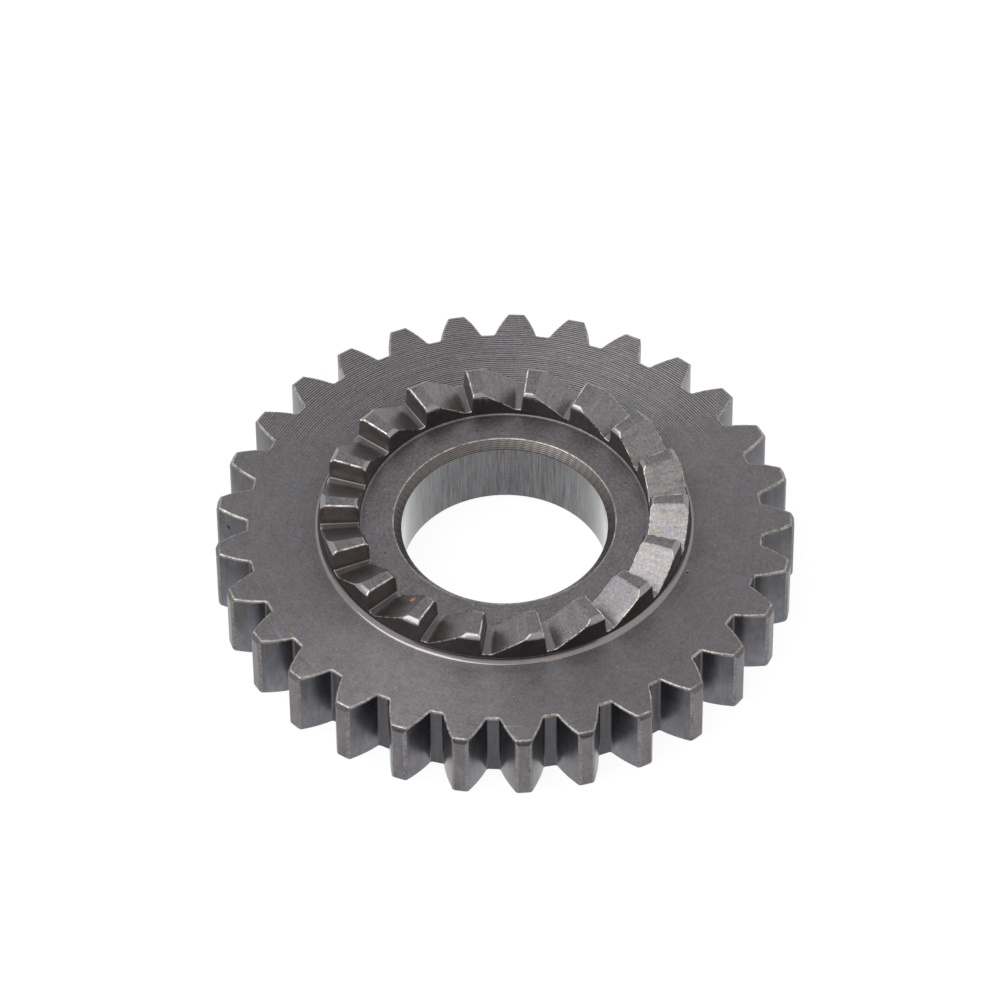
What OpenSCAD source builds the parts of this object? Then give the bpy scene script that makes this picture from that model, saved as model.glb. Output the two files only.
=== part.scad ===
// Kickstart pinion gear, one piece of steel: a spur gear whose upper face carries a ring of
// one-way ratchet teeth round a plain bore. It is turned first, then the tooth spaces are
// cut through the rim and the ratchet spaces are cut into the ring.
// The origin is the middle of the flat underside, on the bore axis, and +Z points up the axis.

/* [Spur gear] */
// Number of gear teeth
gear_teeth = 29; // [27:1:34]
// Module: the pitch diameter divided by the number of teeth
tooth_module = 2; // [1.9:0.05:2.2]
// Pressure angle at the pitch circle, in degrees
pressure_angle = 27; // [22:0.5:29]
// Thickness of a tooth along the pitch circle
tooth_thickness = 3.5; // [3.1:0.05:3.6]
// Height of a tooth above the pitch circle
addendum = 1.85; // [1.6:0.05:2.1]
// Depth of a tooth space below the pitch circle
dedendum = 1.5; // [1.2:0.05:1.8]
// Radius in the corners of a tooth space
root_fillet = 0.3; // [0.1:0.05:0.4]
// Width of the bevel between a flank and the tip, along the tip circle
tip_bevel_w = 0.3; // [0.1:0.05:0.4]
// Depth of the bevel between a flank and the tip, along a radius
tip_bevel_h = 0.25; // [0.1:0.05:0.5]
// Width of the gear across its two faces
gear_w = 8.2; // [6:0.1:14]
// Width of the chamfer round the tips at the upper face, along a radius
tip_chamfer_w = 0.35; // [0.1:0.05:0.8]
// Height of that chamfer, along the axis
tip_chamfer_h = 0.58; // [0.1:0.02:0.9]
// Chamfer round the tips at the underside
tip_chamfer_bottom = 0.15; // [0.1:0.05:0.8]

/* [Bore and hub] */
// Diameter of the bore
bore_d = 22; // [18:0.1:25]
// Chamfer of the bore at the hub face
bore_chamfer_top = 0.85; // [0.2:0.05:1.2]
// Chamfer of the bore at the underside
bore_chamfer_bottom = 0.3; // [0.1:0.05:1]
// Height of the hub face above the gear face
hub_rise = 0.23; // [0.05:0.01:0.6]
// Radius in the corner between the hub face and the ring
hub_fillet = 0.25; // [0.1:0.05:0.3]

/* [Ratchet ring] */
// Outer diameter of the ring
ring_od = 39.2; // [37:0.1:41]
// Inner diameter of the ring
ring_id = 30.9; // [29.5:0.1:32.5]
// Height of the lands above the gear face at the outer wall
land_h_outer = 3.55; // [2.8:0.05:5]
// Height of the lands above the gear face at the inner wall
land_h_inner = 3.3; // [2.8:0.05:5]
// Width of the chamfer of the lands at the outer wall, along a radius
outer_chamfer_w = 0.5; // [0.1:0.05:0.7]
// Height of that chamfer, along the axis
outer_chamfer_h = 0.4; // [0.1:0.05:0.7]
// Width of the chamfer of the lands at the inner wall, along a radius
inner_chamfer_w = 0.35; // [0.1:0.05:0.6]
// Height of that chamfer, along the axis
inner_chamfer_h = 0.35; // [0.1:0.05:0.6]
// Width and height of the bevel at the foot of the outer wall
foot_bevel = 0.54; // [0.3:0.02:0.7]
// Radius between that bevel and the outer wall
foot_radius = 0.5; // [0.1:0.05:0.6]

/* [Ratchet teeth] */
// Number of ratchet teeth
ratchet_teeth = 18; // [14:1:20]
// Angle from the middle of a gear tooth to the drive face of a ratchet tooth, in degrees
ratchet_phase = 1.9; // [0:0.1:19]
// Width of a land at the outer wall
land_w_outer = 1.6; // [0.8:0.05:2]
// Width of a land at the inner wall
land_w_inner = 1.05; // [0.6:0.05:1.4]
// Height of the floor of a ratchet space above the gear face
floor_h = 0.95; // [0.7:0.05:1.6]
// Width of that floor at the outer wall
floor_w_outer = 0.93; // [0.7:0.01:1.4]
// Width of that floor at the inner wall
floor_w_inner = 0.68; // [0.6:0.01:1]
// How far the steep drive face leans, from its foot to its top
drive_lean = 0.2; // [0.05:0.05:0.4]
// Radius at the foot of the drive face
drive_fillet = 0.15; // [0.05:0.05:0.2]
// Radius at the foot of the ramp
ramp_fillet = 0.8; // [0.2:0.1:1]

/* [Face recess] */
// Diameter of the shallow recess round the ring
recess_d = 42.6; // [42.2:0.1:44]
// Depth of the recess
recess_depth = 0.06; // [0.02:0.01:0.15]
// Width of the slope at the edge of the recess
recess_slope = 0.2; // [0.1:0.05:0.4]

/* [Hidden] */

pitch_r = tooth_module * gear_teeth / 2;
base_r = pitch_r * cos(pressure_angle);
tip_r = pitch_r + addendum;
root_r = pitch_r - dedendum;
bevel_r = tip_r - tip_bevel_h;
bore_r = bore_d / 2;
ring_r = ring_od / 2;
ring_ir = ring_id / 2;
recess_r = recess_d / 2;
hub_z = gear_w + hub_rise;
recess_z = gear_w - recess_depth;
floor_z = gear_w + floor_h;
land_z_outer = gear_w + land_h_outer;
land_z_inner = gear_w + land_h_inner;
foot_r = ring_r + foot_bevel;
foot_z = recess_z + foot_bevel;
ratchet_pitch = 360 / ratchet_teeth;
deg = 180 / PI;
// How far a cutter reaches past the metal that it cuts
overcut = 1;
// Steps along an involute flank, round a fillet and along a ratchet tooth
flank_steps = 5;
fillet_steps = 3;
ratchet_steps = 3;
steel = [0.36, 0.36, 0.37];
$fn = 180;

function polar(r, a) = [r * cos(a), r * sin(a)];
function unit(v) = v / norm(v);
function flip(p) = [p[0], -p[1]];
function reversed(list) = [for (i = [len(list) - 1 : -1 : 0]) list[i]];
function mix(a, b, t) = a + (b - a) * t;

// Points of an arc of radius r that rounds the corner b between the lines to a and to c
function corner_arc(a, b, c, r, steps) =
    let (
        u = unit(a - b),
        v = unit(c - b),
        half = acos(u * v) / 2,
        centre = b + unit(u + v) * r / sin(half),
        from = b + u * r / tan(half) - centre,
        to = b + v * r / tan(half) - centre,
        start = atan2(from[1], from[0]),
        turn = (atan2(to[1], to[0]) - start + 540) % 360 - 180
    )
    [for (i = [0 : steps]) centre + polar(r, start + turn * i / steps)];

// Involute function, in degrees
function involute(a) = tan(a) * deg - a;

// Half the angle of a tooth at radius r, with the flank going on straight inside the base circle
function tooth_half(r) =
    tooth_thickness / 2 / pitch_r * deg + involute(pressure_angle)
    - involute(acos(base_r / max(r, base_r)));

// Half the angle of a tooth space at radius r
function space_half(r) = 180 / gear_teeth - tooth_half(r);

// One side of a tooth space about the X axis, from the middle of its floor outwards
function space_side() =
    let (
        root_end = polar(root_r, space_half(root_r)),
        flank_r = root_r + 2 * root_fillet,
        bevel_in = polar(bevel_r, space_half(bevel_r)),
        bevel_out = polar(tip_r, space_half(bevel_r) + tip_bevel_w / tip_r * deg)
    )
    concat(
        [polar(root_r, 0)],
        corner_arc(polar(root_r, 0), root_end, polar(flank_r, space_half(flank_r)),
            root_fillet, fillet_steps),
        [for (i = [0 : flank_steps])
            let (r = mix(flank_r, bevel_r, i / flank_steps)) polar(r, space_half(r))],
        [bevel_out + (bevel_out - bevel_in) / 2]
    );

// Outline of a whole tooth space, open past the tip circle
function space_outline() =
    let (
        side = space_side(),
        edge = side[len(side) - 1],
        far = [tip_r + overcut, edge[1]]
    )
    concat(side, [far], [flip(far)], reversed([for (i = [1 : len(side) - 1]) flip(side[i])]));

// Section of a ratchet space at radius r: distance along the arc from the drive edge, and height
function ratchet_section(r) =
    let (
        t = (r - ring_ir) / (ring_r - ring_ir),
        land = mix(land_z_inner, land_z_outer, t),
        depth = land - floor_z,
        top = land + overcut,
        drive_top = [-drive_lean * overcut / depth, top],
        drive_foot = [drive_lean, floor_z],
        ramp_foot = drive_foot + [mix(floor_w_inner, floor_w_outer, t), 0],
        ramp_edge = [ratchet_pitch / deg * r - mix(land_w_inner, land_w_outer, t), land],
        ramp_top = ramp_edge + (ramp_edge - ramp_foot) * overcut / depth
    )
    concat(
        [drive_top],
        corner_arc(drive_top, drive_foot, ramp_foot, drive_fillet, fillet_steps),
        corner_arc(drive_foot, ramp_foot, ramp_top, ramp_fillet, fillet_steps),
        [ramp_top]
    );

function wrap_point(p, r) = [r * cos(p[0] / r * deg), r * sin(p[0] / r * deg), p[1]];

// Everything that is turned: rim, hub, bore, ring and the corners between them
module turned_blank() {
    rotate_extrude() polygon(concat(
        [
            [bore_r + bore_chamfer_bottom, 0],
            [tip_r - tip_chamfer_bottom, 0],
            [tip_r, tip_chamfer_bottom],
            [tip_r, gear_w - tip_chamfer_h],
            [tip_r - tip_chamfer_w, gear_w],
            [recess_r, gear_w],
            [recess_r - recess_slope, recess_z],
            [foot_r, recess_z]
        ],
        corner_arc([foot_r, recess_z], [ring_r, foot_z], [ring_r, land_z_outer], foot_radius,
            fillet_steps),
        [
            [ring_r, land_z_outer - outer_chamfer_h],
            [ring_r - outer_chamfer_w, land_z_outer],
            [ring_ir + inner_chamfer_w, land_z_inner],
            [ring_ir, land_z_inner - inner_chamfer_h]
        ],
        corner_arc([ring_ir, land_z_inner], [ring_ir, hub_z], [bore_r, hub_z], hub_fillet,
            fillet_steps),
        [
            [bore_r + bore_chamfer_top, hub_z],
            [bore_r, hub_z - bore_chamfer_top],
            [bore_r, bore_chamfer_bottom]
        ]
    ));
}

// Involute spaces between the gear teeth
module tooth_spaces() {
    for (i = [0 : gear_teeth - 1])
        rotate((i + 0.5) * 360 / gear_teeth)
            translate([0, 0, -overcut])
                linear_extrude(gear_w + 2 * overcut) polygon(space_outline());
}

// One ratchet space: a loft of sections from inside the inner wall to outside the outer wall
module ratchet_space() {
    reach = 0.6;
    stations = [for (i = [0 : ratchet_steps])
        mix(ring_ir - reach, ring_r + reach, i / ratchet_steps)];
    rows = [for (r = stations) [for (p = ratchet_section(r)) wrap_point(p, r)]];
    count = len(rows[0]);
    last = ratchet_steps * count;
    points = [for (row = rows) for (p = row) p];
    sides = [for (s = [0 : ratchet_steps - 1]) for (j = [0 : count - 1])
        let (a = s * count + j, b = s * count + (j + 1) % count)
            each [[a, b + count, b], [a, a + count, b + count]]];
    inner_cap = [[for (j = [0 : count - 1]) j]];
    outer_cap = [[for (j = [count - 1 : -1 : 0]) last + j]];
    polyhedron(points, concat(sides, inner_cap, outer_cap));
}

// Steel gear with its ratchet ring
module pinion_gear() {
    color(steel)
        difference() {
            turned_blank();
            tooth_spaces();
            for (i = [0 : ratchet_teeth - 1])
                rotate(ratchet_phase + i * ratchet_pitch) ratchet_space();
        }
}

pinion_gear();
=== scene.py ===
"""Dresses the kickstart pinion gear as worn, machined steel on a white table."""

import logging
import math
from dataclasses import dataclass, field
from enum import Enum
from typing import Iterable

import bmesh
import bpy
from mathutils import Matrix, Vector, noise


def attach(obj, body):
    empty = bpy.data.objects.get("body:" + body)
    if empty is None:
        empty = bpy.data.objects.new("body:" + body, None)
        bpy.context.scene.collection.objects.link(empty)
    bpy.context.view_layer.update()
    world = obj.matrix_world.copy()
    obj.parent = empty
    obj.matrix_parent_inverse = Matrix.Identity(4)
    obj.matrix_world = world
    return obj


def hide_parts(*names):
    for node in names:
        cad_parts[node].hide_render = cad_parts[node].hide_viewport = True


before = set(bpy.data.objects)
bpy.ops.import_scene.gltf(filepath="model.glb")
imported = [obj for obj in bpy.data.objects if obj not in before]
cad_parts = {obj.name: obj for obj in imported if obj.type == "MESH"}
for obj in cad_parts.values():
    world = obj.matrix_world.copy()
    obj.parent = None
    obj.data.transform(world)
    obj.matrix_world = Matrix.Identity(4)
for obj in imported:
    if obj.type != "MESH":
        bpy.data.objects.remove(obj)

LOG = logging.getLogger("pinion_gear")
MM = 0.001
NODE = "pinion_gear"
BODY = "root"
SHOWN = "steel_pinion_gear"

# Corners of the solid that lie closer than this, in metres, are one corner
SAME_CORNER = 2e-6
# Faces of the solid that bend less than this against each other are one face
SAME_FACE = math.radians(0.5)
# A face with more corners than this is cut into triangles, so that its bevels stay even
MOST_CORNERS = 12
# The most cuts that one edge gets for its wear
MOST_CUTS = 39
# Cosines between a face's normal and a way, up, out or round, that tell the cuts apart
LEVEL, FACING, OUTWARD, SLOPED, TILTED, UPRIGHT = 0.99, 0.8, 0.6, 0.3, 0.2, 0.1
# How far past a size, in millimetres, a face may reach and still belong to its cut
NEAR, CLOSE = 0.1, 0.05
# Least climb of an edge, in millimetres, that runs up the bevel at the foot of the ring
FOOT_RISE = 0.3
# Painted light on the turning marks: their tone shows in full behind the axis, where light would
# catch the grooves, and fades in front: from none to full, in millimetres, and how strong
LIT_MARKS_FROM, LIT_MARKS_TO, LIT_MARKS_STRENGTH = 6.5, 21.0, 1.25
# Next to the ring a few show in front too: up to the first radius, and none from the second
RING_MARKS_TO, RING_MARKS_END, RING_MARKS_STRENGTH = 20.8, 21.9, 0.05
# How far the border of the painted lit side of the marks wanders, in millimetres
BORDER_WANDER = 5.0
# Scales of the coarse and the fine unevenness of a worn edge
WEAR_COARSE, WEAR_FINE = 1.7, 4.3
# How much of the burr stands where that unevenness is 0
BURR_SHARE = 0.35
# Heights in millimetres on a flank between which its painted light goes from a painted reflection
# of the table to painted shade at the top
PAINTED_SHADE_FROM, PAINTED_SHADE_TO = 0.0, 7.5
# How much brighter than its tone a flank is at the table, as a painted reflection of the white
# table
PAINTED_TABLE_REFLECTION = 1.2
# Way that drawn steel spreads its highlights, in turns: across the rings of the lathe
DRAWN_WAY = 0.25
# What streaks, bright dings and dark pits do to the tone for each unit of their amount
STREAK_GAIN, DING_GAIN, PIT_GAIN = 2.4, 2.0, -1.0
# The darkest that any point gets, as a share of its tone
LEAST_TONE = 0.2
# Depth of the dark pits in millimetres for each unit of their amount
PIT_DEPTH = -0.004
# How strongly the tint drifts for each unit of its amount, and its cool and warm ends
TINT_GAIN = 2.0
COOL, WARM = (0.93, 0.995, 1.08), (1.07, 1.005, 0.92)
# How much rougher the patches and the stains are
PATCH_ROUGHNESS, STAIN_ROUGHNESS = 0.12, 0.2
# Radius in millimetres at which the way round the gear is taken as a length
ARC_RADIUS = 20.0


class Zone(Enum):
    """Surfaces of the gear that were made by different cuts, and so look different."""

    FACE = "turned face"
    UNDERSIDE = "ground underside"
    HUB = "hub face"
    BORE = "bore wall"
    BORE_CHAMFER = "bore chamfer"
    ROOT = "root land"
    FLANK = "tooth flank"
    TIP = "tooth tip"
    TIP_BEVEL = "tip bevel"
    TIP_CHAMFER = "tip chamfer"
    RING_WALL = "ring wall"
    FOOT = "ring foot"
    LAND = "ratchet land"
    LAND_CHAMFER = "land chamfer"
    RAMP = "ratchet ramp"
    FLOOR = "ratchet floor"
    DRIVE = "drive face"
    EDGE = "worn edge"
    BURR = "burred edge"
    RAGGED = "ragged edge"


ZONES = list(Zone)


class Lay(Enum):
    """The way that the tool marks of a cut run."""

    ROUND = "round the axis"
    AXIAL = "along the axis"
    RADIAL = "out from the axis"


def worn_kind(zones: set[Zone]) -> Zone:
    """What a rounded edge looks like, from the surfaces that meet there.

    Args:
        zones: The zones on the two sides of the edge.

    Returns:
        The zone whose finish the edge takes.
    """
    tops = {Zone.LAND, Zone.LAND_CHAMFER}
    if Zone.DRIVE in zones and zones & tops:
        return Zone.BURR
    if Zone.RING_WALL in zones and zones & {Zone.RAMP, Zone.FLOOR}:
        return Zone.RAGGED
    if Zone.FACE in zones and zones & {Zone.FLANK, Zone.ROOT, Zone.TIP_CHAMFER}:
        return Zone.EDGE
    if Zone.HUB in zones and Zone.BORE_CHAMFER in zones:
        return Zone.EDGE
    for first in (Zone.TIP_BEVEL, Zone.LAND_CHAMFER, Zone.LAND, Zone.TIP_CHAMFER, Zone.DRIVE,
                  Zone.BORE_CHAMFER, Zone.UNDERSIDE, Zone.FLANK):
        if first in zones:
            return first
    return Zone.EDGE


@dataclass(frozen=True)
class GearSizes:
    """Radii and heights that tell the cuts apart, in millimetres.

    Root corner, teeth height and land height are limits that lie between two cuts. The others
    are sizes of the solid.
    """

    bore_radius: float = 11.0
    bore_mouth: float = 11.85
    hub_radius: float = 15.2
    ring_inner: float = 15.45
    ring_outer: float = 19.6
    foot_radius: float = 20.14
    recess_radius: float = 21.3
    root_corner: float = 27.95
    bevel_radius: float = 30.6
    teeth_height: float = 8.83
    floor_height: float = 9.15
    land_height: float = 11.1


@dataclass(frozen=True)
class SteelFinish:
    """How one cut surface of the steel looks.

    Tone is the reflectance of the metal. Pitch and the depths are in millimetres. The other
    amounts are 0 for none, and the larger they are, the more of it shows.
    """

    tone: tuple[float, float, float]
    roughness: float
    lay: Lay
    pitch: float = 0.28
    groove_depth: float = 0.0
    groove_tone: float = 0.0
    # How much the marks' tone fades in front, as painted light, where the grooves would not catch
    # the light
    groove_unlit_fade: float = 0.0
    scratch_depth: float = 0.0
    streak: float = 0.1
    streak_depth: float = 0.0
    mottle: float = 0.25
    mottle_scale: float = 0.9
    grain: float = 0.35
    grain_depth: float = 0.002
    tint: float = 0.5
    speck: float = 0.2
    drawn: float = 0.0
    # How much darker a flank is painted towards its top, as painted shade
    painted_shade_top: float = 0.0
    oil: float = 0.0
    stain: float = 0.0
    stain_tone: tuple[float, float, float] = (0.05, 0.035, 0.025)


@dataclass(frozen=True)
class Spot:
    """A small mark on the surface: where it is, how wide, and what it does to the steel."""

    name: str
    place: tuple[float, float, float]
    radius: float
    tone: tuple[float, float, float]
    roughness: float


FINISHES: dict[Zone, SteelFinish] = {
    Zone.FACE: SteelFinish((0.17, 0.16, 0.166), 0.5, Lay.ROUND, drawn=0.78, groove_depth=0.009,
                           groove_tone=1.5, groove_unlit_fade=0.95, scratch_depth=0.008, mottle=0.4,
                           grain=0.85, tint=1.2, speck=0.35),
    Zone.UNDERSIDE: SteelFinish((0.16, 0.153, 0.157), 0.4, Lay.ROUND, groove_depth=0.003,
                                groove_tone=0.45, groove_unlit_fade=0.3, scratch_depth=0.003),
    Zone.HUB: SteelFinish((0.142, 0.133, 0.139), 0.44, Lay.ROUND, pitch=0.54, groove_tone=0.1,
                          groove_depth=0.002, scratch_depth=0.003, mottle=0.45, grain=1.2,
                          tint=0.8, speck=0.6),
    # The bore's low tone is partly its own and partly painted shade, for the shaded table that it
    # reflects inside the bore
    Zone.BORE: SteelFinish((0.095, 0.096, 0.102), 0.12, Lay.AXIAL, streak=1.5, streak_depth=0.002,
                           pitch=0.2, groove_tone=0.35, grain=0.6, grain_depth=0.0007, mottle=0.5,
                           mottle_scale=0.5, tint=3.0, oil=0.9),
    Zone.BORE_CHAMFER: SteelFinish((0.132, 0.118, 0.115), 0.42, Lay.ROUND, pitch=0.14,
                                   groove_depth=0.003, groove_tone=1.3, mottle=0.1,
                                   grain_depth=0.0007),
    # The root lands' low tone is partly their own and partly painted shade, for the shaded table
    # that they reflect between the teeth
    Zone.ROOT: SteelFinish((0.09, 0.087, 0.095), 0.32, Lay.AXIAL, streak=0.4, mottle=0.5,
                           grain_depth=0.001),
    Zone.FLANK: SteelFinish((0.132, 0.13, 0.144), 0.29, Lay.AXIAL, streak=0.6, streak_depth=0.001,
                            mottle=0.6, mottle_scale=0.7, grain=0.4, grain_depth=0.0006, tint=1.8,
                            oil=0.15, painted_shade_top=0.35),
    Zone.TIP: SteelFinish((0.165, 0.153, 0.161), 0.32, Lay.AXIAL, streak=0.35, mottle=0.6,
                          mottle_scale=1.4, grain=0.6, grain_depth=0.001, tint=1.0),
    Zone.TIP_BEVEL: SteelFinish((0.2, 0.185, 0.19), 0.34, Lay.AXIAL, mottle=1.1, mottle_scale=2.0,
                                grain=1.3, grain_depth=0.001),
    Zone.TIP_CHAMFER: SteelFinish((0.14, 0.128, 0.129), 0.32, Lay.ROUND, mottle=0.6,
                                  mottle_scale=1.6, grain=0.6, grain_depth=0.001),
    Zone.RING_WALL: SteelFinish((0.14, 0.124, 0.127), 0.2, Lay.ROUND, stain=0.2,
                                grain_depth=0.001),
    Zone.FOOT: SteelFinish((0.24, 0.218, 0.219), 0.17, Lay.ROUND, grain=0.2, grain_depth=0.0005),
    Zone.LAND: SteelFinish((0.155, 0.147, 0.153), 0.36, Lay.ROUND, pitch=0.18, groove_depth=0.001,
                           streak=0.3, mottle=0.5, mottle_scale=1.6, grain=1.4, speck=0.5),
    Zone.LAND_CHAMFER: SteelFinish((0.272, 0.26, 0.264), 0.22, Lay.ROUND, grain_depth=0.0007),
    Zone.RAMP: SteelFinish((0.2, 0.188, 0.19), 0.37, Lay.RADIAL, streak=0.4, streak_depth=0.002,
                           mottle=0.25, mottle_scale=2.2, grain=1.2, grain_depth=0.003, tint=1.3),
    Zone.FLOOR: SteelFinish((0.172, 0.161, 0.165), 0.42, Lay.RADIAL, streak=0.3, mottle=0.4),
    Zone.DRIVE: SteelFinish((0.21, 0.182, 0.172), 0.34, Lay.RADIAL, streak=0.3, stain=0.25),
    Zone.EDGE: SteelFinish((0.29, 0.272, 0.255), 0.4, Lay.ROUND, mottle=1.8, mottle_scale=2.2,
                           grain=1.6),
    Zone.BURR: SteelFinish((0.46, 0.445, 0.43), 0.32, Lay.RADIAL, mottle=3.4, mottle_scale=1.5,
                           grain=2.2),
    Zone.RAGGED: SteelFinish((0.25, 0.24, 0.228), 0.34, Lay.RADIAL, mottle=5.0, mottle_scale=1.9,
                             grain=2.6),
}

SPOTS: tuple[Spot, ...] = (
    Spot("rust", (-9.74, -13.05, 10.69), 0.42, (0.5, 0.28, 0.15), 0.75),
    # This pit is painted shade: its near black stands for the shade in its hollow, which the mesh
    # doesn't have
    Spot("painted shade of a pit in the face", (19.25, -7.44, 8.14), 0.13, (0.02, 0.017, 0.015), 0.5),
    Spot("bright nick in the face", (19.3, -7.2, 8.14), 0.07, (0.7, 0.68, 0.66), 0.3),
    # This pit is painted shade too: its near black stands for the shade in its hollow
    Spot("painted shade of a pit in a flank", (-29.46, 1.69, 6.01), 0.3, (0.02, 0.017, 0.02), 0.5),
)


class Wiring:
    """A node tree with short ways to add and join nodes."""

    def __init__(self, tree: bpy.types.NodeTree) -> None:
        """Keeps the tree.

        Args:
            tree: The node tree of a group, a material or the world.
        """
        self.tree = tree
        self.column = 0

    def add(self, kind: str, **settings: object) -> bpy.types.Node:
        """Adds a node.

        Args:
            kind: The node's type, such as ShaderNodeMath.
            settings: Properties of the node to set.

        Returns:
            The new node.
        """
        node = self.tree.nodes.new(kind)
        self.column += 1
        node.location = (180 * (self.column % 12), -220 * (self.column // 12))
        for key, value in settings.items():
            setattr(node, key, value)
        return node

    def join(self, source: bpy.types.NodeSocket, target: bpy.types.NodeSocket) -> None:
        """Links an output to an input."""
        self.tree.links.new(source, target)

    def feed(self, socket: bpy.types.NodeSocket, value: object) -> None:
        """Links a socket to an input, or sets the input where the value is a constant.

        Args:
            socket: The input.
            value: A socket, a number or a tuple.
        """
        if isinstance(value, bpy.types.NodeSocket):
            self.join(value, socket)
        else:
            socket.default_value = value

    def maths(self, operation: str, *values: object, clamp: bool = False) -> bpy.types.NodeSocket:
        """Adds a Math node.

        Args:
            operation: The node's operation.
            values: Sockets or numbers for its inputs.
            clamp: Whether the result is kept between 0 and 1.

        Returns:
            Its output.
        """
        node = self.add("ShaderNodeMath", operation=operation, use_clamp=clamp)
        for socket, value in zip(node.inputs, values):
            self.feed(socket, value)
        return node.outputs[0]

    def remap(self, value: object, low: float, high: float, to_low: object = 0.0,
              to_high: object = 1.0) -> bpy.types.NodeSocket:
        """Maps a value smoothly from one range to another.

        Args:
            value: The socket to map.
            low: Start of the range.
            high: End of the range.
            to_low: Result at the start.
            to_high: Result at the end.

        Returns:
            The mapped value.
        """
        node = self.add("ShaderNodeMapRange", interpolation_type="SMOOTHSTEP")
        for name, item in (("Value", value), ("From Min", low), ("From Max", high),
                           ("To Min", to_low), ("To Max", to_high)):
            self.feed(node.inputs[name], item)
        return node.outputs[0]

    def noise(self, vector: object, scale: object, detail: float = 2.0,
              rough: float = 0.5) -> bpy.types.NodeSocket:
        """Adds a noise texture.

        Args:
            vector: Where the noise is read.
            scale: How fine it is, per unit of the vector.
            detail: How many finer layers it has.
            rough: How strong the finer layers are.

        Returns:
            Its value, which is about 0.5 on the whole.
        """
        node = self.add("ShaderNodeTexNoise")
        self.feed(node.inputs["Vector"], vector)
        self.feed(node.inputs["Scale"], scale)
        node.inputs["Detail"].default_value = detail
        node.inputs["Roughness"].default_value = rough
        return node.outputs["Fac"]

    def swing(self, vector: object, scale: object, detail: float = 2.0,
              rough: float = 0.5) -> bpy.types.NodeSocket:
        """Adds the same noise around 0, for something that swings both ways."""
        return self.maths("SUBTRACT", self.noise(vector, scale, detail, rough), 0.5)

    def total(self, start: float, parts: Iterable[bpy.types.NodeSocket]) -> bpy.types.NodeSocket:
        """Adds values up.

        Args:
            start: A number that they are added to.
            parts: The values.

        Returns:
            The sum.
        """
        total: object = start
        for part in parts:
            total = self.maths("ADD", total, part)
        return total

    def moved(self, vector: bpy.types.NodeSocket,
              shift: tuple[float, float, float]) -> bpy.types.NodeSocket:
        """Moves a vector, so that what is read there differs from what is read without it.

        Args:
            vector: The vector.
            shift: How far it moves.

        Returns:
            The moved vector.
        """
        node = self.add("ShaderNodeVectorMath", operation="ADD")
        self.join(vector, node.inputs[0])
        node.inputs[1].default_value = shift
        return node.outputs[0]

    def place(self, x: object, y: object, z: object) -> bpy.types.NodeSocket:
        """Joins three values into a vector.

        Args:
            x: First part, a socket or a number.
            y: Second part.
            z: Third part.

        Returns:
            The vector.
        """
        node = self.add("ShaderNodeCombineXYZ")
        for socket, value in zip(node.inputs, (x, y, z)):
            self.feed(socket, value)
        return node.outputs[0]

    def blend(self, share: object, first: object, second: object) -> bpy.types.NodeSocket:
        """Mixes two colours.

        Args:
            share: How much of the second colour shows.
            first: The first colour.
            second: The second colour.

        Returns:
            The mixed colour.
        """
        node = self.add("ShaderNodeMix", data_type="RGBA")
        self.feed(node.inputs[0], share)
        self.feed(node.inputs[6], first)
        self.feed(node.inputs[7], second)
        return node.outputs[2]


def blank_material(name: str) -> tuple[bpy.types.Material, Wiring]:
    """Makes a material with no nodes.

    Args:
        name: The material's name.

    Returns:
        The material and its wiring.
    """
    material = bpy.data.materials.new(name)
    material.use_nodes = True
    material.node_tree.nodes.clear()
    return material, Wiring(material.node_tree)


def put(name: str, data: bpy.types.ID) -> bpy.types.Object:
    """Puts a mesh, a light or a camera in the scene.

    Args:
        name: The object's name.
        data: What the object shows.

    Returns:
        The object.
    """
    item = bpy.data.objects.new(name, data)
    bpy.context.scene.collection.objects.link(item)
    return item


def flat_sheet(name: str, width: float, height: float) -> bpy.types.Object:
    """Puts a level rectangle in the scene, with its middle at the origin.

    Args:
        name: The object's name.
        width: Its size along X, in metres.
        height: Its size along Y, in metres.

    Returns:
        The object.
    """
    shape = bmesh.new()
    bmesh.ops.create_grid(shape, x_segments=1, y_segments=1, size=0.5)
    bmesh.ops.scale(shape, verts=shape.verts, vec=(width, height, 1.0))
    mesh = bpy.data.meshes.new(name)
    shape.to_mesh(mesh)
    shape.free()
    return put(name, mesh)


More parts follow.
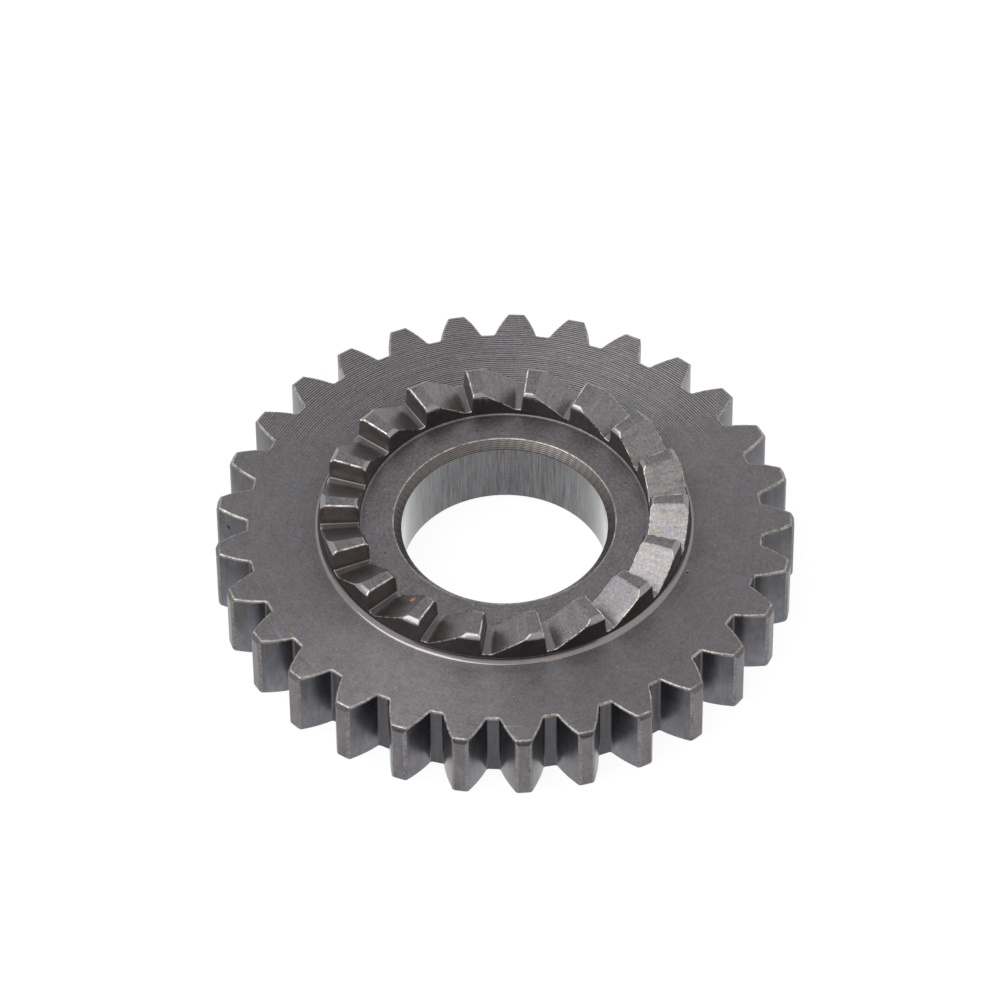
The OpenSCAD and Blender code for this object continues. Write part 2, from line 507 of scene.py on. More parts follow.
class GroupShelf:
    """The shader node groups that the finishes share, each built once."""

    def __init__(self) -> None:
        """Builds every group."""
        self.polar = self._polar()
        self.turning = self._turning()
        self.streaks = self._streaks()
        self.mottle = self._mottle()
        self.specks = self._specks()
        self.spot = self._spot()

    @staticmethod
    def _new(name: str, inputs: Iterable[tuple[str, str, object]],
             outputs: Iterable[tuple[str, str]]) -> tuple[Wiring, bpy.types.Node, bpy.types.Node]:
        """Makes an empty group with its sockets.

        Args:
            name: The group's name.
            inputs: Name, kind (Float, Vector or Color) and default of each input.
            outputs: Name and kind of each output.

        Returns:
            The group's wiring, its input node and its output node.
        """
        tree = bpy.data.node_groups.new(name, "ShaderNodeTree")
        for label, kind, default in inputs:
            socket = tree.interface.new_socket(name=label, in_out="INPUT",
                                               socket_type="NodeSocket" + kind)
            if default is not None:
                socket.default_value = default
        for label, kind in outputs:
            tree.interface.new_socket(name=label, in_out="OUTPUT",
                                      socket_type="NodeSocket" + kind)
        wiring = Wiring(tree)
        return wiring, wiring.add("NodeGroupInput"), wiring.add("NodeGroupOutput")

    def _polar(self) -> bpy.types.NodeTree:
        """Place on the gear in millimetres: distance from the axis, way round, and height.

        Returns:
            The group, with Radius, Turn in radians, Height and the whole Place.
        """
        w, _, out = self._new("Place round the axis", (),
                              (("Radius", "Float"), ("Turn", "Float"), ("Height", "Float"),
                               ("Place", "Vector")))
        split = w.add("ShaderNodeSeparateXYZ")
        w.join(w.add("ShaderNodeTexCoord").outputs["Object"], split.inputs[0])
        x, y, z = (w.maths("MULTIPLY", split.outputs[i], 1 / MM) for i in range(3))
        radius = w.maths("SQRT", w.maths("ADD", w.maths("MULTIPLY", x, x),
                                         w.maths("MULTIPLY", y, y)))
        turn = w.maths("ARCTAN2", y, x)
        w.join(radius, out.inputs["Radius"])
        w.join(turn, out.inputs["Turn"])
        w.join(z, out.inputs["Height"])
        w.join(w.place(x, y, z), out.inputs["Place"])
        return w.tree

    def _turning(self) -> bpy.types.NodeTree:
        """Turning marks: fine rings, each a little different, whose tone fades towards the front
        as painted light, since light shows the grooves only behind the axis.

        Returns:
            The group, with Marks and Scratches. Marks lie around 0.
        """
        w, inside, out = self._new(
            "Turning marks",
            (("Radius", "Float", 0.0), ("Turn", "Float", 0.0), ("Place", "Vector", None),
             ("Pitch", "Float", 0.28), ("Wear", "Float", 0.0)),
            (("Marks", "Float"), ("Scratches", "Float")))
        place = inside.outputs["Place"]
        turns = w.maths("DIVIDE", inside.outputs["Radius"], inside.outputs["Pitch"])
        wave = w.maths("SINE", w.maths("MULTIPLY", turns, math.tau))
        ring = w.swing(w.place(turns, 0.0, 0.0), 0.8, 2.0, 0.6)
        broken = w.remap(w.noise(place, 0.8, 4.0, 0.7), 0.36, 0.6, 0.35, 1.0)
        split = w.add("ShaderNodeSeparateXYZ")
        w.join(place, split.inputs[0])
        side = w.maths("ADD", split.outputs[1],
                       w.maths("MULTIPLY", w.swing(place, 0.12), BORDER_WANDER))
        beside_ring = w.remap(inside.outputs["Radius"], RING_MARKS_TO, RING_MARKS_END,
                              RING_MARKS_STRENGTH, 0.0)
        # Painted light: the marks are kept in full behind the axis, where light would catch the
        # grooves, and fade in front; the same share scales their bump
        lit_marks = w.maths("MAXIMUM", w.remap(side, LIT_MARKS_FROM, LIT_MARKS_TO, 0.0, LIT_MARKS_STRENGTH),
                       beside_ring)
        # The share of the marks left in front, faded as painted light, not by wear
        worn = w.maths("SUBTRACT", 1.0, w.maths("MULTIPLY", inside.outputs["Wear"],
                                                w.maths("SUBTRACT", 1.0, lit_marks)))
        strength = w.maths("MULTIPLY", broken, worn)
        marks = w.maths("MULTIPLY", w.maths("ADD", w.maths("MULTIPLY", wave, 0.5), ring), strength)
        w.join(marks, out.inputs["Marks"])
        drawn_out = w.place(w.maths("MULTIPLY", inside.outputs["Radius"], 8.0),
                            w.maths("MULTIPLY", inside.outputs["Turn"], 30.0), 0.0)
        w.join(w.noise(drawn_out, 1.0, 2.0, 0.6), out.inputs["Scratches"])
        return w.tree

    def _streaks(self) -> bpy.types.NodeTree:
        """Long streaks: noise drawn out along the way that the tool or the wear ran.

        Returns:
            The group, with Value, which is about 0.5 on the whole.
        """
        w, inside, out = self._new(
            "Streaks",
            (("Across", "Float", 0.0), ("Along", "Float", 0.0), ("Other", "Float", 0.0)),
            (("Value", "Float"),))
        coarse, fine = (
            w.noise(w.place(*(w.maths("MULTIPLY", inside.outputs[way], scale)
                              for way, scale in zip(("Across", "Along", "Other"), scales))),
                    1.0, detail, 0.6)
            for scales, detail in (((2.2, 0.22, 0.6), 3.0), ((7.0, 0.5, 1.5), 2.0)))
        w.join(w.maths("ADD", w.maths("MULTIPLY", coarse, 0.6), w.maths("MULTIPLY", fine, 0.4)),
               out.inputs["Value"])
        return w.tree

    def _mottle(self) -> bpy.types.NodeTree:
        """Soft patches, fine grain and a drift from warm to cool, each around 0.

        Returns:
            The group, with Patches, Grain and Warmth.
        """
        w, inside, out = self._new(
            "Mottled steel", (("Place", "Vector", None), ("Scale", "Float", 1.0)),
            (("Patches", "Float"), ("Grain", "Float"), ("Warmth", "Float")))
        place, scale = inside.outputs["Place"], inside.outputs["Scale"]
        broad = w.swing(place, w.maths("MULTIPLY", scale, 0.3), 3.0, 0.55)
        patches = w.swing(place, scale, 4.0, 0.65)
        w.join(w.maths("ADD", w.maths("MULTIPLY", broad, 0.8), patches), out.inputs["Patches"])
        w.join(w.swing(place, 4.2, 2.0, 0.6), out.inputs["Grain"])
        w.join(w.swing(w.moved(place, (91.0, 17.0, 53.0)), 0.9, 3.0, 0.6), out.inputs["Warmth"])
        return w.tree

    def _specks(self) -> bpy.types.NodeTree:
        """Tiny bright dings and dark pits, sparse and uneven.

        Returns:
            The group, with the masks Bright and Dark.
        """
        w, inside, out = self._new("Dings and pits", (("Place", "Vector", None),),
                                   (("Bright", "Float"), ("Dark", "Float")))
        for label, scale, shift in (("Bright", 2.6, 0.0), ("Dark", 2.1, 37.0)):
            cell = w.add("ShaderNodeTexVoronoi", feature="F1")
            w.join(w.moved(inside.outputs["Place"], (shift, shift, shift)), cell.inputs["Vector"])
            cell.inputs["Scale"].default_value = scale
            chosen = w.add("ShaderNodeSeparateColor")
            w.join(cell.outputs["Color"], chosen.inputs[0])
            near = w.remap(cell.outputs["Distance"], 0.1, 0.24, 1.0, 0.0)
            w.join(w.maths("MULTIPLY", near, w.remap(chosen.outputs[0], 0.75, 0.95)),
                   out.inputs[label])
        return w.tree

    def _spot(self) -> bpy.types.NodeTree:
        """One small ragged mark at a place, as a mask.

        Returns:
            The group, with Mask.
        """
        w, inside, out = self._new(
            "Ragged spot", (("Place", "Vector", None), ("Middle", "Vector", None),
                            ("Radius", "Float", 0.3)), (("Mask", "Float"),))
        gap = w.add("ShaderNodeVectorMath", operation="DISTANCE")
        w.join(inside.outputs["Place"], gap.inputs[0])
        w.join(inside.outputs["Middle"], gap.inputs[1])
        ragged = w.maths("ADD", gap.outputs["Value"],
                         w.maths("MULTIPLY", w.swing(inside.outputs["Place"], 4.0),
                                 inside.outputs["Radius"]))
        inner = w.maths("MULTIPLY", inside.outputs["Radius"], 0.6)
        slope = w.maths("DIVIDE", w.maths("SUBTRACT", inside.outputs["Radius"], ragged),
                        w.maths("SUBTRACT", inside.outputs["Radius"], inner), clamp=True)
        w.join(slope, out.inputs["Mask"])
        return w.tree


@dataclass
class FinishShop:
    """Makes the Blender material of each finish."""

    shelf: GroupShelf

    def make(self, name: str, finish: SteelFinish) -> bpy.types.Material:
        """Builds a material.

        Args:
            name: What the surface is called.
            finish: What the surface looks like.

        Returns:
            The material.
        """
        material, w = blank_material(name.replace(" ", "_"))
        shader = w.add("ShaderNodeBsdfPrincipled")
        shader.inputs["Metallic"].default_value = 1.0
        shader.inputs["Coat Weight"].default_value = finish.oil
        shader.inputs["Coat Roughness"].default_value = finish.roughness
        shader.inputs["Anisotropic"].default_value = finish.drawn
        shader.inputs["Anisotropic Rotation"].default_value = DRAWN_WAY
        w.join(shader.outputs[0], w.add("ShaderNodeOutputMaterial").inputs["Surface"])
        polar = self._group(w, self.shelf.polar)
        place = polar.outputs["Place"]
        across = polar.outputs["Height" if finish.lay is Lay.AXIAL else "Radius"]
        turning = self._group(w, self.shelf.turning, Radius=across,
                              Turn=polar.outputs["Turn"], Place=place, Pitch=finish.pitch,
                              Wear=finish.groove_unlit_fade)
        streaks = self._streaks(w, finish, polar)
        mottle = self._group(w, self.shelf.mottle, Place=place, Scale=finish.mottle_scale)
        specks = self._group(w, self.shelf.specks, Place=place)
        tone = self._tone(w, finish, turning, streaks, mottle, specks)
        # Painted light: a flank is lifted at the table, as a painted reflection of it, and
        # darkened towards the top, as painted shade
        if finish.painted_shade_top:
            tone = w.maths("MULTIPLY", tone,
                           w.remap(polar.outputs["Height"], PAINTED_SHADE_FROM, PAINTED_SHADE_TO, PAINTED_TABLE_REFLECTION,
                                   1.0 - finish.painted_shade_top))
        colour, rough = self._colour(w, finish, tone, mottle, place)
        w.join(colour, shader.inputs["Base Color"])
        w.join(rough, shader.inputs["Roughness"])
        w.join(self._relief(w, finish, turning, streaks, mottle, specks),
               shader.inputs["Normal"])
        return material

    @staticmethod
    def _group(w: Wiring, tree: bpy.types.NodeTree, **values: object) -> bpy.types.Node:
        """Places a group and feeds its inputs.

        Args:
            w: The material's wiring.
            tree: The group.
            values: What its inputs get, by their names.

        Returns:
            The group's node.
        """
        node = w.add("ShaderNodeGroup", node_tree=tree)
        for name, value in values.items():
            w.feed(node.inputs[name], value)
        return node

    def _streaks(self, w: Wiring, finish: SteelFinish,
                 polar: bpy.types.Node) -> bpy.types.NodeSocket:
        """Streaks that run the way of the finish's lay.

        Args:
            w: The material's wiring.
            finish: What the surface looks like.
            polar: The node of the place round the axis.

        Returns:
            The value of the streaks.
        """
        arc = w.maths("MULTIPLY", polar.outputs["Turn"], ARC_RADIUS)
        radius, height = polar.outputs["Radius"], polar.outputs["Height"]
        across, along, other = {
            Lay.ROUND: (radius, arc, height),
            Lay.AXIAL: (arc, height, radius),
            Lay.RADIAL: (arc, radius, height),
        }[finish.lay]
        return self._group(w, self.shelf.streaks, Across=across, Along=along,
                           Other=other).outputs["Value"]

    @staticmethod
    def _tone(w: Wiring, finish: SteelFinish, turning: bpy.types.Node,
              streaks: bpy.types.NodeSocket, mottle: bpy.types.Node,
              specks: bpy.types.Node) -> bpy.types.NodeSocket:
        """Adds up how much lighter or darker each point is.

        Args:
            w: The material's wiring.
            finish: What the surface looks like.
            turning: The node of the turning marks.
            streaks: The value of the streaks.
            mottle: The node of the patches and the grain.
            specks: The node of the dings and pits.

        Returns:
            A factor around 1.
        """
        parts = (
            w.maths("MULTIPLY", turning.outputs["Marks"], finish.groove_tone),
            w.maths("MULTIPLY", w.maths("SUBTRACT", streaks, 0.5), STREAK_GAIN * finish.streak),
            w.maths("MULTIPLY", mottle.outputs["Patches"], finish.mottle),
            w.maths("MULTIPLY", mottle.outputs["Grain"], finish.grain),
            w.maths("MULTIPLY", specks.outputs["Bright"], DING_GAIN * finish.speck),
            w.maths("MULTIPLY", specks.outputs["Dark"], PIT_GAIN * finish.speck),
        )
        return w.maths("MAXIMUM", w.total(1.0, parts), LEAST_TONE)

    def _colour(self, w: Wiring, finish: SteelFinish, tone: bpy.types.NodeSocket,
                mottle: bpy.types.Node,
                place: bpy.types.NodeSocket) -> tuple[bpy.types.NodeSocket, bpy.types.NodeSocket]:
        """Base colour and roughness, with stains and spots.

        Args:
            w: The material's wiring.
            finish: What the surface looks like.
            tone: How much lighter or darker each point is.
            mottle: The node of the patches and the grain.
            place: Place on the gear in millimetres.

        Returns:
            The colour and the roughness.
        """
        share = w.maths("ADD", 0.5, w.maths("MULTIPLY", mottle.outputs["Warmth"],
                                            TINT_GAIN * finish.tint), clamp=True)
        cool, warm = (tuple(c * k for c, k in zip(finish.tone, end)) for end in (COOL, WARM))
        scaled = w.add("ShaderNodeVectorMath", operation="SCALE")
        w.join(w.blend(share, (*cool, 1.0), (*warm, 1.0)), scaled.inputs[0])
        w.join(tone, scaled.inputs["Scale"])
        colour: bpy.types.NodeSocket = scaled.outputs[0]
        rough = w.maths("ADD", finish.roughness,
                        w.maths("MULTIPLY", mottle.outputs["Patches"], PATCH_ROUGHNESS))
        if finish.stain:
            mask = w.remap(w.noise(place, 0.8, 4.0, 0.65), 0.35, 0.7, 0.0, finish.stain)
            colour = w.blend(mask, colour, (*finish.stain_tone, 1.0))
            rough = w.maths("ADD", rough, w.maths("MULTIPLY", mask, STAIN_ROUGHNESS))
        for spot in SPOTS:
            mask = self._group(w, self.shelf.spot, Place=place, Middle=spot.place,
                               Radius=spot.radius).outputs["Mask"]
            colour = w.blend(mask, colour, (*spot.tone, 1.0))
            rough = w.maths("ADD", rough,
                            w.maths("MULTIPLY", mask, spot.roughness - finish.roughness))
        return colour, rough

    @staticmethod
    def _relief(w: Wiring, finish: SteelFinish, turning: bpy.types.Node,
                streaks: bpy.types.NodeSocket, mottle: bpy.types.Node,
                specks: bpy.types.Node) -> bpy.types.NodeSocket:
        """Turns the tool marks, the grain and the pits into relief.

        Args:
            w: The material's wiring.
            finish: What the surface looks like.
            turning: The node of the turning marks.
            streaks: The value of the streaks.
            mottle: The node of the patches and the grain.
            specks: The node of the dings and pits.

        Returns:
            The normal.
        """
        parts = (
            w.maths("MULTIPLY", turning.outputs["Marks"], finish.groove_depth),
            w.maths("MULTIPLY", turning.outputs["Scratches"], finish.scratch_depth),
            w.maths("MULTIPLY", streaks, finish.streak_depth),
            w.maths("MULTIPLY", mottle.outputs["Grain"], finish.grain_depth),
            w.maths("MULTIPLY", specks.outputs["Dark"], PIT_DEPTH * finish.speck),
        )
        bump = w.add("ShaderNodeBump")
        bump.inputs["Strength"].default_value = 1.0
        bump.inputs["Distance"].default_value = MM
        w.join(w.total(0.0, parts), bump.inputs["Height"])
        return bump.outputs[0]


@dataclass
class PinionGear:
    """The gear: the solid's own shape, with rounded and worn edges and a finish for each cut.

    Widths, lengths, the nick and the burr are in millimetres. The named widths are those of the
    rounded edges: plain ones, at the tips, where the tips meet the face, and in and at the mouth
    of the bore.
    """

    sizes: GearSizes = field(default_factory=GearSizes)
    plain_width: float = 0.11
    tip_width: float = 0.07
    rim_width: float = 0.12
    bore_width: float = 0.03
    mouth_width: float = 0.09
    concave_angle: float = math.radians(35)
    foot_cuts: int = 3
    foot_hollow: float = 0.05
    widths: dict[Zone, float] = field(default_factory=lambda: {
        Zone.EDGE: 0.24, Zone.BURR: 0.16, Zone.RAGGED: 0.11})
    edge_steps: int = 2
    sharp_angle: float = math.radians(24)
    piece_length: float = 0.45
    nick: float = 0.022
    burr: float = 0.05

    def build(self, shop: FinishShop) -> bpy.types.Object:
        """Makes the dressed gear.

        Args:
            shop: What makes the materials.

        Returns:
            The gear's object, which stands for the CAD node.
        """
        steels = [shop.make(zone.value, FINISHES[zone]) for zone in ZONES]
        mesh = self._with_round_edges(self._cut_blank(), steels)
        self._wear(mesh)
        gear = put(SHOWN, mesh)
        self._even_shading(gear)
        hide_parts(NODE)
        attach(gear, BODY)
        LOG.info("gear: %d vertices, %d faces", len(gear.data.vertices), len(gear.data.polygons))
        return gear

    @staticmethod
    def _even_shading(gear: bpy.types.Object) -> None:
        """Gives the flat faces flat shading up to their rounded edges, in the mesh itself.

        Args:
            gear: The gear's object, which gets the new mesh.
        """
        weighted = gear.modifiers.new("Even shading", "WEIGHTED_NORMAL")
        weighted.mode = "FACE_AREA"
        weighted.keep_sharp = True
        graph = bpy.context.evaluated_depsgraph_get()
        shaded = bpy.data.meshes.new_from_object(gear.evaluated_get(graph))
        gear.modifiers.remove(weighted)
        gear.data = shaded
        shaded.name = SHOWN

    def zone_of(self, face: bmesh.types.BMFace) -> Zone:
        """Finds the cut that made a face, from where the face is and which way it looks.

        Args:
            face: A face of the merged solid.

        Returns:
            Its zone.
        """
        s = self.sizes
        middle = face.calc_center_median() / MM
        normal = face.normal
        out = Vector((middle.x, middle.y, 0.0)).normalized()
        around = normal.dot(Vector((-out.y, out.x, 0.0)))
        most = max(v.co.xy.length for v in face.verts) / MM
        if normal.z < -LEVEL:
            return Zone.UNDERSIDE
        if normal.z > LEVEL:
            return self._level_zone(middle.z, most)
        on_ring = s.ring_inner - NEAR < middle.xy.length < s.ring_outer + NEAR
        if on_ring and middle.z > s.teeth_height:
            return self._ratchet_zone(middle.z, normal.z, around)
        if most < s.bore_mouth + NEAR:
            wall = most < s.bore_radius + NEAR and abs(normal.z) < UPRIGHT
            return Zone.BORE if wall else Zone.BORE_CHAMFER
        if most < s.ring_inner + CLOSE:
            return Zone.HUB if normal.z > SLOPED else Zone.RING_WALL
        if most < s.ring_outer + CLOSE:
            return Zone.RING_WALL
        if most < s.foot_radius + NEAR:
            return Zone.FOOT if normal.z > SLOPED else Zone.RING_WALL
        if most < s.recess_radius + NEAR:
            return Zone.FACE
        if abs(normal.z) > TILTED:
            return Zone.TIP_CHAMFER
        if min(v.co.xy.length for v in face.verts) / MM > s.bevel_radius - CLOSE:
            return Zone.TIP_BEVEL if abs(around) > TILTED else Zone.TIP
        if normal.dot(out) > OUTWARD and most < s.root_corner:
            return Zone.ROOT
        return Zone.FLANK

    def _ratchet_zone(self, height: float, upward: float, around: float) -> Zone:
        """The zone of a face of the ratchet teeth that isn't level.

        Args:
            height: How high its middle lies, in millimetres.
            upward: Cosine between its normal and the way up.
            around: Cosine between its normal and the way round.

        Returns:
            Its zone.
        """
        if around > FACING:
            return Zone.DRIVE
        if around < -TILTED:
            return Zone.RAMP
        if upward > SLOPED:
            return Zone.LAND_CHAMFER if height > self.sizes.land_height else Zone.FLOOR
        return Zone.RING_WALL

    def _level_zone(self, height: float, radius: float) -> Zone:
        """The zone of a face that looks straight up.

        Args:
            height: How high it lies, in millimetres.
            radius: How far out it reaches, in millimetres.

        Returns:
            Its zone.
        """
        s = self.sizes
        if height > s.land_height:
            return Zone.LAND
        if height > s.floor_height - NEAR:
            return Zone.FLOOR
        if radius < s.ring_inner:
            return Zone.HUB
        return Zone.FACE

    def _edge_width(self, edge: bmesh.types.BMEdge) -> float:
        """Finds how wide an edge is worn.

        Args:
            edge: An edge of the merged solid.

        Returns:
            The width in millimetres, or 0 where the edge isn't sharp.
        """
        if len(edge.link_faces) != 2 or edge.calc_face_angle(0.0) < self.sharp_angle:
            return 0.0
        if not edge.is_convex:
            return 0.0
        zones = {ZONES[f.material_index] for f in edge.link_faces}
        kind = worn_kind(zones)
        if zones & {Zone.TIP_BEVEL, Zone.TIP_CHAMFER}:
            return self.rim_width if Zone.FACE in zones else self.tip_width
        if Zone.BORE_CHAMFER in zones:
            return self.mouth_width if Zone.HUB in zones else self.bore_width
        return self.widths.get(kind, self.plain_width)

    def _cut_blank(self) -> bmesh.types.BMesh:
        """Copies the solid, merges it, sets its zones and divides its sharp edges.

        Returns:
            The divided copy.
        """
        shape = bmesh.new()
        shape.from_mesh(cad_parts[NODE].data)
        bmesh.ops.remove_doubles(shape, verts=shape.verts, dist=SAME_CORNER)
        bmesh.ops.dissolve_limit(shape, angle_limit=SAME_FACE, verts=shape.verts,
                                 edges=shape.edges)
        shape.normal_update()
        for face in shape.faces:
            face.material_index = ZONES.index(self.zone_of(face))
            face.smooth = True
        self._hollow_foot(shape)
        for cuts in range(1, MOST_CUTS + 1):
            chosen = [e for e in shape.edges
                      if self._edge_width(e) and self._cuts_for(e) == cuts]
            if chosen:
                bmesh.ops.subdivide_edges(shape, edges=chosen, cuts=cuts)
        wide = [face for face in shape.faces if len(face.verts) > MOST_CORNERS]
        bmesh.ops.triangulate(shape, faces=wide, quad_method="BEAUTY", ngon_method="BEAUTY")
        return shape

    def _hollow_foot(self, shape: bmesh.types.BMesh) -> None:
        """Hollows the bevel at the foot of the ring a little, as the tool's rounded tip left it.

        Args:
            shape: The merged solid with its zones, which is changed.
        """
        foot = ZONES.index(Zone.FOOT)
        slopes = [e for e in shape.edges
                  if all(f.material_index == foot for f in e.link_faces)
                  and abs(e.verts[0].co.z - e.verts[1].co.z) > FOOT_RISE * MM]
        low = min(v.co.z for e in slopes for v in e.verts)
        high = max(v.co.z for e in slopes for v in e.verts)
        made = bmesh.ops.subdivide_edges(shape, edges=slopes, cuts=self.foot_cuts,
                                         use_grid_fill=True)
        for vert in {g for g in made["geom_inner"] if isinstance(g, bmesh.types.BMVert)}:
            share = (vert.co.z - low) / (high - low)
            # A parabola over the bevel, split evenly between inwards and down
            depth = 4 * self.foot_hollow * share * (1 - share) * MM / math.sqrt(2)
            vert.co.xy -= vert.co.xy.normalized() * depth
            vert.co.z -= depth
        LOG.info("ring foot: hollowed over %d slopes at %.1f mm radius", len(slopes),
                 self.sizes.foot_radius)

    def _cuts_for(self, edge: bmesh.types.BMEdge) -> int:
        """Into how many more pieces an edge is cut, so that its wear can vary along it."""
        return min(MOST_CUTS, int(edge.calc_length() / MM / self.piece_length))

    def _with_round_edges(self, shape: bmesh.types.BMesh,
                          steels: list[bpy.types.Material]) -> bpy.types.Mesh:
        """Rounds the sharp edges, each to its own width.

        Args:
            shape: The divided solid, which is freed.
            steels: The material of each zone, in the order of the zones.

        Returns:
            The new mesh, with the rounded strips in the worn-edge zones.
        """
        weight = shape.edges.layers.float.new("bevel_weight_edge")
        widest = max(self.plain_width, *self.widths.values())
        for edge in shape.edges:
            edge[weight] = self._edge_width(edge) / widest
        blank = bpy.data.meshes.new("rounded_blank")
        shape.to_mesh(blank)
        shape.free()
        for steel in steels:
            blank.materials.append(steel)
        carrier = put("rounded_blank", blank)
        bevel = carrier.modifiers.new("Worn edges", "BEVEL")
        bevel.limit_method = "WEIGHT"
        bevel.width = widest * MM
        bevel.segments = self.edge_steps
        bevel.profile = 0.5
        bevel.use_clamp_overlap = False
        bevel.loop_slide = False
        bevel.material = ZONES.index(Zone.EDGE)
        bevel.miter_outer = "MITER_SHARP"
        graph = bpy.context.evaluated_depsgraph_get()
        mesh = bpy.data.meshes.new_from_object(carrier.evaluated_get(graph))
        mesh.name = SHOWN
        bpy.data.objects.remove(carrier)
        bpy.data.meshes.remove(blank)
        return mesh

    def _wear(self, mesh: bpy.types.Mesh) -> None:
        """Nicks the worn edges and raises the burr along the drive edges.

        Args:
            mesh: The rounded mesh, which is changed.
        """
        shape = bmesh.new()
        shape.from_mesh(mesh)
        worn = ZONES.index(Zone.EDGE)
        strips = [face for face in shape.faces if face.material_index == worn]
        kinds = [ZONES.index(worn_kind(self._zones_beside(face))) for face in strips]
        inner = {vert for face in strips for vert in face.verts
                 if all(f.material_index == worn for f in vert.link_faces)}
        for face, kind in zip(strips, kinds):
            face.material_index = kind
        burred = {ZONES.index(Zone.BURR), ZONES.index(Zone.RAGGED)}
        for vert in inner:
            kinds_here = {f.material_index for f in vert.link_faces}
            if not kinds_here & {worn, *burred}:
                continue
            if vert.co.xy.length < self.sizes.hub_radius * MM:
                continue
            wobble = (noise.noise(vert.co / MM * WEAR_COARSE)
                      + 0.5 * noise.noise(vert.co / MM * WEAR_FINE))
            amount = self.nick * wobble
            if kinds_here & burred:
                amount = self.burr * max(0.0, wobble + BURR_SHARE)
            vert.co += vert.normal * amount * MM
        shape.normal_update()
        self._crease(shape)
        shape.to_mesh(mesh)
        shape.free()

    def _crease(self, shape: bmesh.types.BMesh) -> None:
        """Keeps inner corners crisp, so that the flat faces beside them look flat.

        Args:
            shape: The rounded and worn mesh, which is changed.
        """
        for edge in shape.edges:
            if len(edge.link_faces) == 2 and not edge.is_convex:
                edge.smooth = edge.calc_face_angle(0.0) < self.concave_angle

    @staticmethod
    def _zones_beside(strip: bmesh.types.BMFace) -> set[Zone]:
        """The zones on both sides of a rounded strip, which is two faces wide.

        Args:
            strip: A face of a rounded strip.

        Returns:
            Those zones.
        """
        near = set()
        for edge in strip.edges:
            for other in edge.link_faces:
                near.add(ZONES[other.material_index])
                if other is not strip and ZONES[other.material_index] is Zone.EDGE:
                    near.update(ZONES[f.material_index] for e in other.edges for f in e.link_faces)
        return near - {Zone.EDGE}


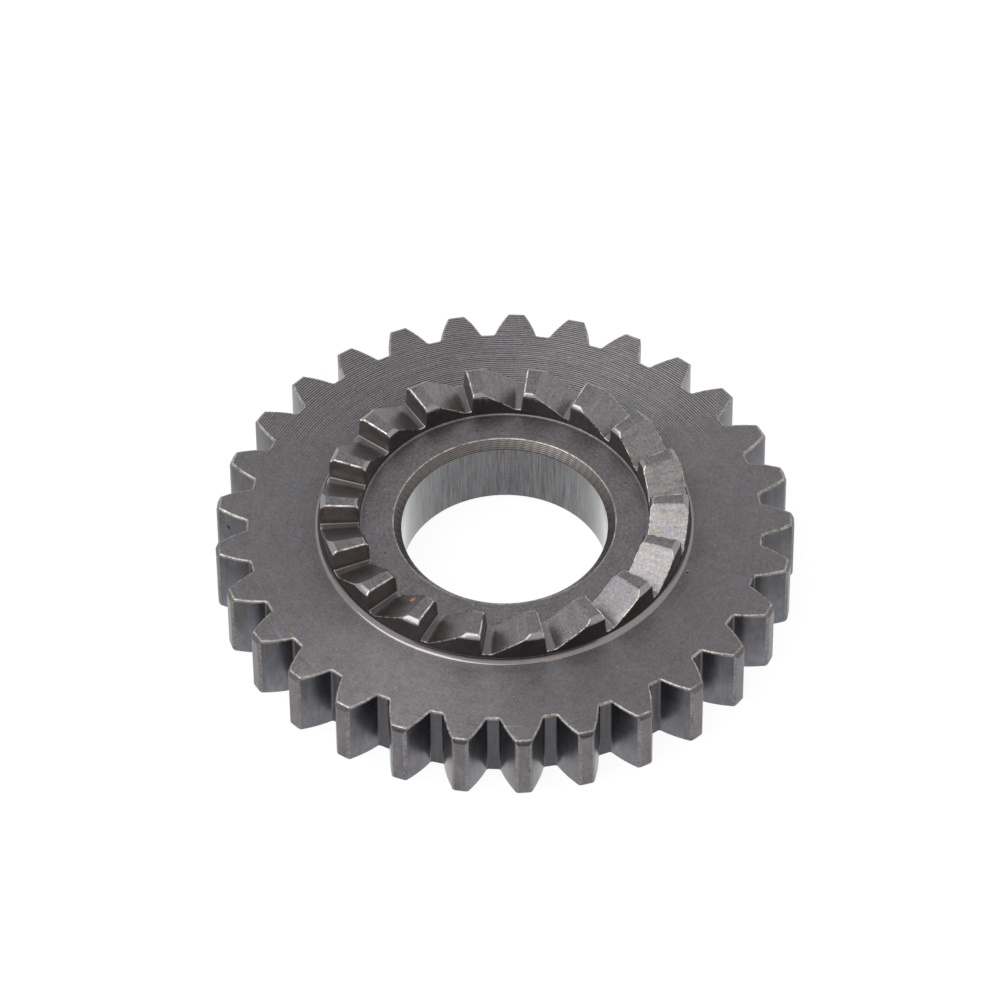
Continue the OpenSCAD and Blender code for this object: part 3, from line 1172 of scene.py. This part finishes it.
@dataclass
class Studio:
    """White table, soft overhead light, a dark card near the camera, and the camera.

    Angles are in degrees. The distance, offsets and face height are in millimetres, as is the
    lens on a 36 mm sensor. The table's numbers are its width and how deep it lies under the
    gear, in metres, how white it is, how bright its even white is, and the share of that white.
    """

    lens: float = 250.86
    elevation: float = 47.9
    roll: float = -0.5336
    turn: float = -0.213
    distance: float = 741.42
    offset_right: float = 0.482
    offset_up: float = -2.315
    face_height: float = 8.2
    room: tuple[float, float, float] = (0.74, 0.75, 0.77)
    table_width: float = 12.0
    table_depth: float = 0.00002
    table_white: float = 0.86
    table_glow: float = 1.05
    table_even: float = 0.88

    def build(self) -> None:
        """Makes the camera, the world, the table, the light and the card."""
        self._camera()
        self._world()
        self._table()
        self._softbox("overhead", place=(-0.4, -0.2, 0.8), width=0.76, radiance=2.4)
        self._card("low dark card", place=(0.0, -0.95, 0.14), size=(2.2, 0.36))
        LOG.info("studio: camera, room, table, softbox and card")

    def _camera(self) -> None:
        """Places the camera where the photograph was taken from."""
        e, r, t = (math.radians(a) for a in (self.elevation, self.roll, self.turn))
        forward = Vector((0, math.cos(e), -math.sin(e)))
        level = Vector((1, 0, 0))
        upward = level.cross(forward)
        right = math.cos(r) * level + math.sin(r) * upward
        up = -math.sin(r) * level + math.cos(r) * upward
        spot = (-forward * self.distance - right * self.offset_right - up * self.offset_up
                + Vector((0, 0, self.face_height)))
        turned = Matrix.Rotation(t, 3, "Z")
        basis = Matrix((turned @ right, turned @ up, -(turned @ forward))).transposed()
        camera = put("camera", bpy.data.cameras.new("camera"))
        camera.data.lens = self.lens
        camera.data.sensor_width = 36.0
        camera.data.clip_start, camera.data.clip_end = 0.01, 20.0
        camera.matrix_world = Matrix.Translation(turned @ spot * MM) @ basis.to_4x4()
        bpy.context.scene.camera = camera

    def _world(self) -> None:
        """An even pale room; what the camera sees of it is white."""
        world = bpy.data.worlds.new("room")
        world.use_nodes = True
        world.node_tree.nodes.clear()
        w = Wiring(world.node_tree)
        path = w.add("ShaderNodeLightPath")
        room, white = w.add("ShaderNodeBackground"), w.add("ShaderNodeBackground")
        room.inputs["Color"].default_value = (*self.room, 1.0)
        white.inputs["Color"].default_value = (1.0, 1.0, 1.0, 1.0)
        mix = w.add("ShaderNodeMixShader")
        w.join(self._seen(w, path), mix.inputs[0])
        w.join(room.outputs[0], mix.inputs[1])
        w.join(white.outputs[0], mix.inputs[2])
        w.join(mix.outputs[0], w.add("ShaderNodeOutputWorld").inputs["Surface"])
        bpy.context.scene.world = world

    @staticmethod
    def _seen(w: Wiring, path: bpy.types.Node) -> bpy.types.NodeSocket:
        """Tells what the camera sees, directly, in metal or through glass.

        Args:
            w: The wiring of a material or the world.
            path: Its Light Path node.

        Returns:
            1 for what it sees, and 0 for the rest.
        """
        return w.maths("MAXIMUM", path.outputs["Is Camera Ray"],
                       w.maths("MAXIMUM", path.outputs["Is Glossy Ray"],
                               path.outputs["Is Transmission Ray"]))

    def _table(self) -> None:
        """A white table that keeps a faint shadow and is clear from below."""
        table = flat_sheet("table", self.table_width, self.table_width)
        table.data.transform(Matrix.Translation((0, 0, -self.table_depth)))
        material, w = blank_material("white_table")
        path = w.add("ShaderNodeLightPath")
        lit = w.add("ShaderNodeBsdfDiffuse")
        lit.inputs["Color"].default_value = (*(self.table_white,) * 3, 1.0)
        glow = w.add("ShaderNodeEmission")
        glow.inputs["Strength"].default_value = self.table_glow
        seen = w.maths("MULTIPLY", self._seen(w, path), self.table_even)
        mix = w.add("ShaderNodeMixShader")
        w.join(seen, mix.inputs[0])
        w.join(lit.outputs[0], mix.inputs[1])
        w.join(glow.outputs[0], mix.inputs[2])
        clear = w.add("ShaderNodeBsdfTransparent")
        side = w.add("ShaderNodeMixShader")
        w.join(w.add("ShaderNodeNewGeometry").outputs["Backfacing"], side.inputs[0])
        w.join(mix.outputs[0], side.inputs[1])
        w.join(clear.outputs[0], side.inputs[2])
        w.join(side.outputs[0], w.add("ShaderNodeOutputMaterial").inputs["Surface"])
        table.data.materials.append(material)

    def _softbox(self, name: str, place: tuple[float, float, float], width: float,
                 radiance: float) -> None:
        """A square soft light that looks at the gear.

        Args:
            name: The light's name.
            place: Where it hangs, in metres.
            width: Its side, in metres.
            radiance: How bright its cloth looks, where a lit white table is about 1.
        """
        lamp = bpy.data.lights.new(name, "AREA")
        lamp.shape = "SQUARE"
        lamp.size = width
        lamp.energy = radiance * math.pi * width * width
        light = put(name, lamp)
        light.location = place
        light.rotation_euler = (-Vector(place)).to_track_quat("-Z", "Y").to_euler()

    def _card(self, name: str, place: tuple[float, float, float],
              size: tuple[float, float]) -> None:
        """An upright black card that looks at the gear and shows only in its reflections.

        Args:
            name: The card's name.
            place: Its middle, in metres.
            size: Its width and height, in metres.
        """
        card = flat_sheet(name, *size)
        material, w = blank_material("black_card")
        cloth = w.add("ShaderNodeBsdfDiffuse")
        cloth.inputs["Color"].default_value = (0.03, 0.03, 0.03, 1.0)
        w.join(cloth.outputs[0], w.add("ShaderNodeOutputMaterial").inputs["Surface"])
        card.data.materials.append(material)
        card.location = place
        level = Vector((-place[0], -place[1], 0.0))
        card.rotation_euler = level.to_track_quat("Z", "Y").to_euler()
        card.visible_camera = False
        card.visible_diffuse = False
        card.visible_shadow = False


def main() -> None:
    """Builds the dressed gear and its studio."""
    logging.basicConfig(level=logging.INFO, format="%(name)s: %(message)s")
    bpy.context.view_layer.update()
    scene = bpy.context.scene
    scene.view_settings.view_transform = "Standard"
    Studio().build()
    PinionGear().build(FinishShop(GroupShelf()))


if __name__ == "__main__":
    main()
